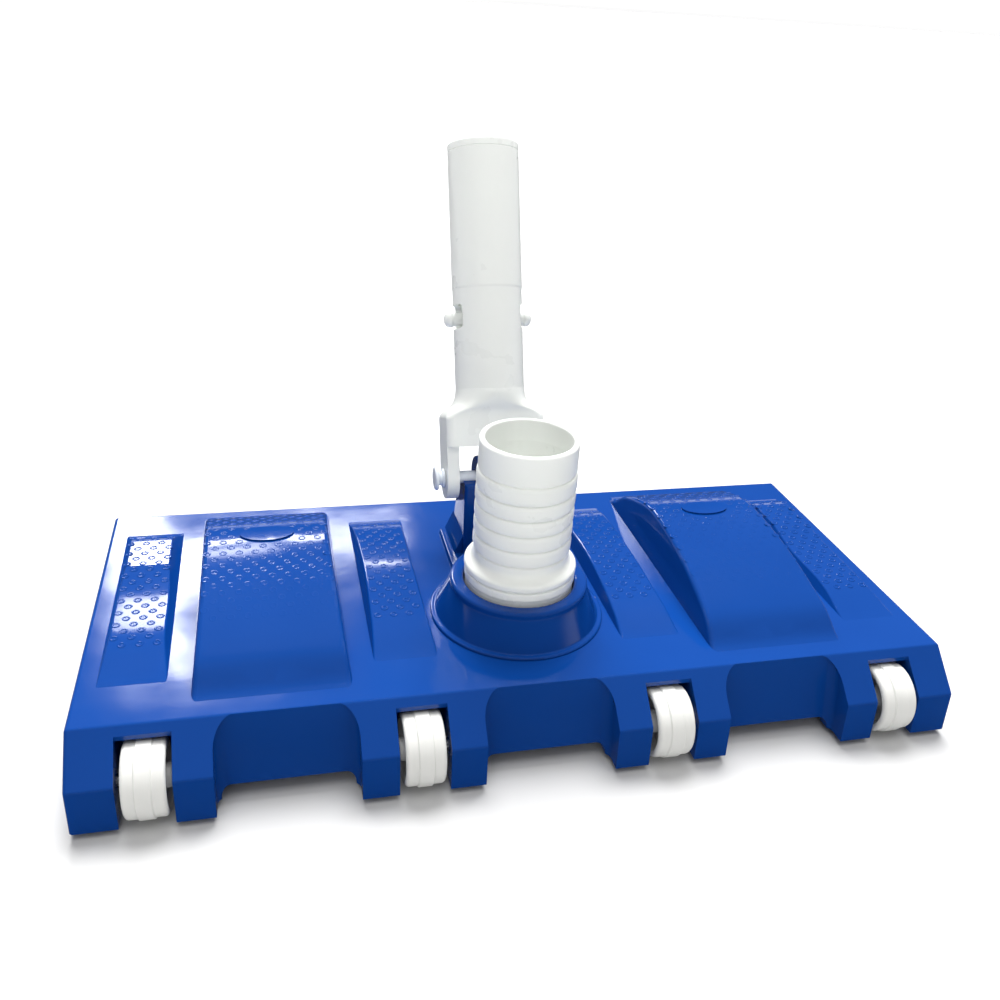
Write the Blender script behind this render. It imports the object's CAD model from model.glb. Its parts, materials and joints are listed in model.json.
import json
import math

import bpy
from mathutils import Matrix, Vector
from mathutils.bvhtree import BVHTree


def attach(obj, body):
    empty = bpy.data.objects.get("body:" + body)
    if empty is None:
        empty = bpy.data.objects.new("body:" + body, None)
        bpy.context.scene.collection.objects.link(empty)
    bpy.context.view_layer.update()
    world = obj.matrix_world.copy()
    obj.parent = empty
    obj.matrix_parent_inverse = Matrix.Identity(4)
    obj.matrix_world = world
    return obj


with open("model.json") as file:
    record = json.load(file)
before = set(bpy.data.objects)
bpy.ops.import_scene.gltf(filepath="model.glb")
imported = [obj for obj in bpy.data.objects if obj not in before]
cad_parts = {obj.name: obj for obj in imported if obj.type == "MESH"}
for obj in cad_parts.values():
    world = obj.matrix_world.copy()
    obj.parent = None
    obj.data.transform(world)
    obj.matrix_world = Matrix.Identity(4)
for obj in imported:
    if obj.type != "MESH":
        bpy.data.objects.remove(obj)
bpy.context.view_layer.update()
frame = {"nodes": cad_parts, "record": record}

nodes = frame["nodes"]
MM = 0.001

# The frame of the CAD: metres, +X right, +Y rear, +Z up, floor at z = 0.


# ---- materials ----------------------------------------------------------------------------
def new_material(name):
    mat = bpy.data.materials.new(name)
    mat.use_nodes = True
    tree = mat.node_tree
    return mat, tree, tree.nodes["Principled BSDF"]


def noise(tree, scale, detail=3.0, rough=0.5):
    """Noise in object coordinates, which are the frame's own on every piece."""
    coord = tree.nodes.new("ShaderNodeTexCoord")
    tex = tree.nodes.new("ShaderNodeTexNoise")
    tex.inputs["Scale"].default_value = scale
    tex.inputs["Detail"].default_value = detail
    tex.inputs["Roughness"].default_value = rough
    tree.links.new(coord.outputs["Object"], tex.inputs["Vector"])
    return tex


def ramp(tree, source, stops):
    node = tree.nodes.new("ShaderNodeValToRGB")
    tree.links.new(source, node.inputs["Fac"])
    elements = node.color_ramp.elements
    while len(elements) > len(stops):
        elements.remove(elements[-1])
    while len(elements) < len(stops):
        elements.new(0.5)
    for element, (at, value) in zip(elements, stops):
        element.position = at
        element.color = (*value, 1.0) if isinstance(value, tuple) else (value, value, value, 1.0)
    return node


def moulded(name, light, dark, roughness, spread=0.04, ripple=0.05, ripple_scale=900, coat=0.0, ior=1.5,
            sink=0.0, milky=0.0):
    """Moulded plastic: slight colour drift, uneven polish, fine ripple, broad sink marks, milky depth."""
    mat, tree, shader = new_material(name)
    drift = noise(tree, 14.0, 2.0)
    colour = ramp(tree, drift.outputs["Fac"], [(0.35, dark), (0.65, light)])
    tree.links.new(colour.outputs["Color"], shader.inputs["Base Color"])
    polish = noise(tree, 60.0, 4.0)
    rough = ramp(tree, polish.outputs["Fac"], [(0.3, roughness - spread), (0.7, roughness + spread)])
    tree.links.new(rough.outputs["Color"], shader.inputs["Roughness"])
    shader.inputs["IOR"].default_value = ior
    shader.inputs["Coat Weight"].default_value = coat
    shader.inputs["Coat Roughness"].default_value = 0.08
    fine = noise(tree, ripple_scale, 2.0)
    bump = tree.nodes.new("ShaderNodeBump")
    bump.inputs["Strength"].default_value = ripple
    bump.inputs["Distance"].default_value = 0.0002
    tree.links.new(fine.outputs["Fac"], bump.inputs["Height"])
    if sink:
        broad = noise(tree, 34.0, 1.0)
        wave = tree.nodes.new("ShaderNodeBump")
        wave.inputs["Strength"].default_value = 1.0
        wave.inputs["Distance"].default_value = sink
        tree.links.new(broad.outputs["Fac"], wave.inputs["Height"])
        tree.links.new(wave.outputs["Normal"], bump.inputs["Normal"])
    if milky:
        shader.inputs["Subsurface Weight"].default_value = milky
        shader.inputs["Subsurface Radius"].default_value = (0.9, 1.0, 0.95)
        shader.inputs["Subsurface Scale"].default_value = 0.006
    tree.links.new(bump.outputs["Normal"], shader.inputs["Normal"])
    return mat


def metal(name, light, dark, roughness, grain):
    mat, tree, shader = new_material(name)
    tex = noise(tree, grain, 5.0, 0.6)
    colour = ramp(tree, tex.outputs["Fac"], [(0.3, dark), (0.7, light)])
    tree.links.new(colour.outputs["Color"], shader.inputs["Base Color"])
    rough = ramp(tree, tex.outputs["Fac"], [(0.3, roughness - 0.08), (0.7, roughness + 0.08)])
    tree.links.new(rough.outputs["Color"], shader.inputs["Roughness"])
    shader.inputs["Metallic"].default_value = 1.0
    bump = tree.nodes.new("ShaderNodeBump")
    bump.inputs["Strength"].default_value = 0.15
    bump.inputs["Distance"].default_value = 0.0002
    tree.links.new(tex.outputs["Fac"], bump.inputs["Height"])
    tree.links.new(bump.outputs["Normal"], shader.inputs["Normal"])
    return mat


# Light and dark end of the colour, roughness, its spread, strength and scale of the fine ripple.
MATERIALS = {
    "blue_vinyl": moulded("blue_vinyl", (0.0028, 0.045, 0.240), (0.002, 0.041, 0.224), 0.10, 0.02, 0.05, 260,
                          ior=1.38, sink=0.00016),
    "blue_cover": moulded("blue_cover", (0.004, 0.070, 0.50), (0.003, 0.058, 0.44), 0.34, 0.05, 0.10, 500),
    "black_ring": moulded("black_ring", (0.030, 0.030, 0.033), (0.022, 0.022, 0.025), 0.42, 0.06, 0.12, 700),
    "ivory_plastic": moulded("ivory_plastic", (0.87, 0.89, 0.855), (0.864, 0.884, 0.849), 0.28, 0.01, 0.03,
                             700, milky=0.15),
    "clip_plastic": moulded("clip_plastic", (0.84, 0.86, 0.83), (0.80, 0.82, 0.80), 0.36, 0.05, 0.06, 700),
    "white_pin": moulded("white_pin", (0.84, 0.88, 0.93), (0.80, 0.85, 0.91), 0.26, 0.05, 0.06, 700, coat=0.2),
    "wheel_plastic": moulded("wheel_plastic", (0.75, 0.75, 0.722), (0.72, 0.72, 0.692), 0.48, 0.06, 0.15, 500),
    "seal_rubber": moulded("seal_rubber", (0.020, 0.020, 0.020), (0.014, 0.014, 0.014), 0.62, 0.06, 0.2, 900),
    "stainless": metal("stainless", (0.62, 0.63, 0.64), (0.50, 0.51, 0.53), 0.26, 500.0),
    "iron": metal("iron", (0.20, 0.20, 0.21), (0.11, 0.11, 0.12), 0.62, 160.0),
}

for sub in frame["record"]["subparts"]:
    mesh = nodes[sub["node"]].data
    mesh.materials.clear()
    mesh.materials.append(MATERIALS[sub["material_slot"]])


# ---- embossed rings on the raised panels --------------------------------------------------
shell = nodes["body_shell"]
skin = BVHTree.FromPolygons([v.co for v in shell.data.vertices], [p.vertices for p in shell.data.polygons])

RING_R = 1.25 * MM         # middle radius of a ring
RING_TUBE = 0.48 * MM      # half width of its bead
RING_RISE = 0.24 * MM      # how far the bead stands out
SUNK = 0.03 * MM           # how far the edges of a bead go below the surface
PIP_R, PIP_RISE, PIP_SIDES = 0.42 * MM, 0.16 * MM, 8
STEP_X, STEP_Y = 6.6 * MM, 4.3 * MM
AROUND, ACROSS = 14, 5     # points round a ring, and across its bead
STEEPEST = 0.75            # no ring where the surface's normal leans further than this
FAINTEST = 0.35            # relative height of the most faded rings


def surface(x, y):
    hit, normal, _, _ = skin.ray_cast(Vector((x, y, 0.2)), Vector((0, 0, -1)))
    return hit, normal


def ring(verts, faces, x, y, fade):
    """One low bead in a circle, laid on the surface under (x, y), with a small pip in its middle."""
    hit, normal = surface(x, y)
    if hit is None or normal.z < STEEPEST:
        return
    start = len(verts)
    side = normal.cross(Vector((0, 1, 0))).normalized()
    back = normal.cross(side)
    for i in range(AROUND):
        a = 2 * math.pi * i / AROUND
        out = math.cos(a) * side + math.sin(a) * back
        for j in range(ACROSS):
            t = math.pi * j / (ACROSS - 1)
            r = RING_R + RING_TUBE * math.cos(t)
            lift = RING_RISE * fade * math.sin(t) - SUNK
            verts.append(hit + out * r + normal * lift)
    for i in range(AROUND):
        n = (i + 1) % AROUND
        for j in range(ACROSS - 1):
            faces.append((start + i * ACROSS + j, start + n * ACROSS + j,
                          start + n * ACROSS + j + 1, start + i * ACROSS + j + 1))
    pip = len(verts)
    verts.append(hit + normal * (PIP_RISE * fade))
    for i in range(PIP_SIDES):
        a = 2 * math.pi * i / PIP_SIDES
        verts.append(hit + (math.cos(a) * side + math.sin(a) * back) * PIP_R - normal * SUNK)
    for i in range(PIP_SIDES):
        faces.append((pip, pip + 1 + i, pip + 1 + (i + 1) % PIP_SIDES))


def texture(name, x0, x1, y0, y1, height, fade_from=None, skip=None):
    """A staggered field of rings in a rectangle seen from above, fading towards the front if asked."""
    verts, faces = [], []
    rows = int((y1 - y0) / STEP_Y)
    cols = int((x1 - x0 + 1e-9) / STEP_X)
    spare = 0.5 * ((x1 - x0) - cols * STEP_X)
    for row in range(rows + 1):
        y = y1 - row * STEP_Y
        shift = 0.25 * STEP_X if row % 2 else -0.25 * STEP_X
        for col in range(cols + 1):
            x = x0 + spare + col * STEP_X + shift
            if x < x0 or x > x1 or (skip and skip(x, y)):
                continue
            fade = height
            if fade_from is not None and y < fade_from:
                fade *= max(FAINTEST, 1.0 - (fade_from - y) / (fade_from - y0))
            ring(verts, faces, x, y, fade)
    mesh = bpy.data.meshes.new(name)
    mesh.from_pydata(verts, [], faces)
    mesh.update()
    mesh.materials.append(MATERIALS["blue_vinyl"])
    for p in mesh.polygons:
        p.use_smooth = True
    piece = bpy.data.objects.new(name, mesh)
    bpy.context.scene.collection.objects.link(piece)
    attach(piece, "body")
    return piece


OVAL = (103.4 * MM, 16.0 * MM, 13.6 * MM, 8.6 * MM)    # centre and half sizes, with a margin


def near_oval(x, y):
    cx, cy, a, b = OVAL
    return ((abs(x) - cx) / a) ** 2 + ((y - cy) / b) ** 2 < 1


for side, tag in ((-1, "left"), (1, "right")):
    for part, lo, hi, y0, y1, height, fade in (("edge", 144.5, 165.5, -38.0, 51.0, 1.0, None),
                                               ("hump", 78.5, 128.5, -38.0, 62.0, 0.6, 10.0),
                                               ("panel", 42.0, 62.0, -33.0, 51.0, 0.9, None)):
        a, b = sorted((side * lo * MM, side * hi * MM))
        texture("texture_%s_%s" % (part, tag), a, b, y0 * MM, y1 * MM, height,
                fade * MM if fade is not None else None, near_oval)


# ---- floor, light, camera -----------------------------------------------------------------
REACH = 40.0               # half width of the floor, far enough for its edge to fall on the horizon
floor_mesh = bpy.data.meshes.new("floor")
corners = [(-REACH, -REACH, 0), (REACH, -REACH, 0), (REACH, REACH, 0), (-REACH, REACH, 0)]
floor_mesh.from_pydata(corners, [], [(0, 1, 2, 3)])
floor = bpy.data.objects.new("floor", floor_mesh)
bpy.context.scene.collection.objects.link(floor)
floor_mat, _, floor_shader = new_material("floor")
floor_shader.inputs["Base Color"].default_value = (0.60, 0.60, 0.60, 1)
floor_shader.inputs["Roughness"].default_value = 1.0
floor_shader.inputs["Specular IOR Level"].default_value = 0.0
floor_mesh.materials.append(floor_mat)
floor.visible_glossy = False

# The room: white at the horizon, dark above and below it, so that gloss stays deep away from the lights.
world = bpy.data.worlds.new("studio")
bpy.context.scene.world = world
world.use_nodes = True
wt = world.node_tree
coord = wt.nodes.new("ShaderNodeTexCoord")
split = wt.nodes.new("ShaderNodeSeparateXYZ")
wt.links.new(coord.outputs["Generated"], split.inputs["Vector"])
lift = wt.nodes.new("ShaderNodeMath")
lift.operation = "MULTIPLY_ADD"
lift.inputs[1].default_value = 0.5
lift.inputs[2].default_value = 0.5
wt.links.new(split.outputs["Z"], lift.inputs[0])
BELOW, HORIZON, ABOVE = ((0.0, 0.04), (0.488, 0.07)), ((0.497, 1.05), (0.53, 1.0)), ((0.56, 0.08), (0.68, 0.08))
OVERHEAD = ((0.75, 0.22), (1.0, 0.34))
sky = ramp(wt, lift.outputs["Value"], BELOW + HORIZON + ABOVE + OVERHEAD)
wt.links.new(sky.outputs["Color"], wt.nodes["Background"].inputs["Color"])
wt.nodes["Background"].inputs["Strength"].default_value = 1.0


def area(name, azimuth, elevation, distance, wide, high, power, glossy=True, target=(0, 0, 0.03)):
    """Area lamp seen from the object at that azimuth (0 is +Y, positive to +X) and elevation."""
    data = bpy.data.lights.new(name, "AREA")
    data.energy = power
    data.shape = "RECTANGLE"
    data.size, data.size_y = wide, high
    lamp = bpy.data.objects.new(name, data)
    a, e = math.radians(azimuth), math.radians(elevation)
    out = Vector((math.sin(a) * math.cos(e), math.cos(a) * math.cos(e), math.sin(e)))
    lamp.location = Vector(target) + out * distance
    lamp.rotation_mode = "QUATERNION"
    lamp.rotation_quaternion = (-out).to_track_quat("-Z", "Y")
    lamp.visible_glossy = glossy
    bpy.context.scene.collection.objects.link(lamp)
    return lamp


# A window behind the object, its lower and upper panes seen in the gloss, and the light round it.
area("pane_low_left", -4.6, 31.2, 6.0, 1.20, 0.38, 34.0)
area("pane_low_right", 4.2, 30.0, 6.0, 0.66, 0.20, 8.0)
area("pane_high", -5.6, 36.4, 6.0, 0.62, 0.32, 9.0)
area("pane_side", -10.6, 27.6, 6.0, 0.40, 2.00, 46.0)
area("window_light", -1.0, 29.0, 6.0, 1.7, 1.42, 95.0, glossy=False)
area("ceiling", 180.0, 72.0, 3.0, 2.6, 1.6, 34.0, glossy=False)
area("fill", 196.0, 38.0, 4.0, 2.4, 1.8, 18.0, glossy=False)

sun = bpy.data.lights.new("sun", "SUN")
sun.energy = 5.3
sun.angle = math.radians(40)
sun_lamp = bpy.data.objects.new("sun", sun)
sun_lamp.rotation_euler = (math.radians(-28), 0, math.radians(-14))
sun_lamp.visible_glossy = False
bpy.context.scene.collection.objects.link(sun_lamp)

CAMERA_AT = (-0.09854, -0.36138, 0.27012)
CAMERA_TURN = (14.757, 27.617, 3.869)    # degrees: heading from +Y towards +X, pitch down, roll
cam_data = bpy.data.cameras.new("camera")
cam_data.lens = 34.68
cam_data.sensor_width = 36.0
cam_data.clip_start = 0.01
camera = bpy.data.objects.new("camera", cam_data)
bpy.context.scene.collection.objects.link(camera)
az, el, roll = (math.radians(angle) for angle in CAMERA_TURN)
forward = Vector((math.sin(az) * math.cos(el), math.cos(az) * math.cos(el), -math.sin(el)))
right = Vector((math.cos(az), -math.sin(az), 0.0))
up = right.cross(forward)
r = right * math.cos(roll) + up * math.sin(roll)
u = -right * math.sin(roll) + up * math.cos(roll)
camera.matrix_world = Matrix((
    (r.x, u.x, -forward.x, CAMERA_AT[0]),
    (r.y, u.y, -forward.y, CAMERA_AT[1]),
    (r.z, u.z, -forward.z, CAMERA_AT[2]),
    (0, 0, 0, 1)))
bpy.context.scene.camera = camera
bpy.context.scene.view_settings.view_transform = "Standard"
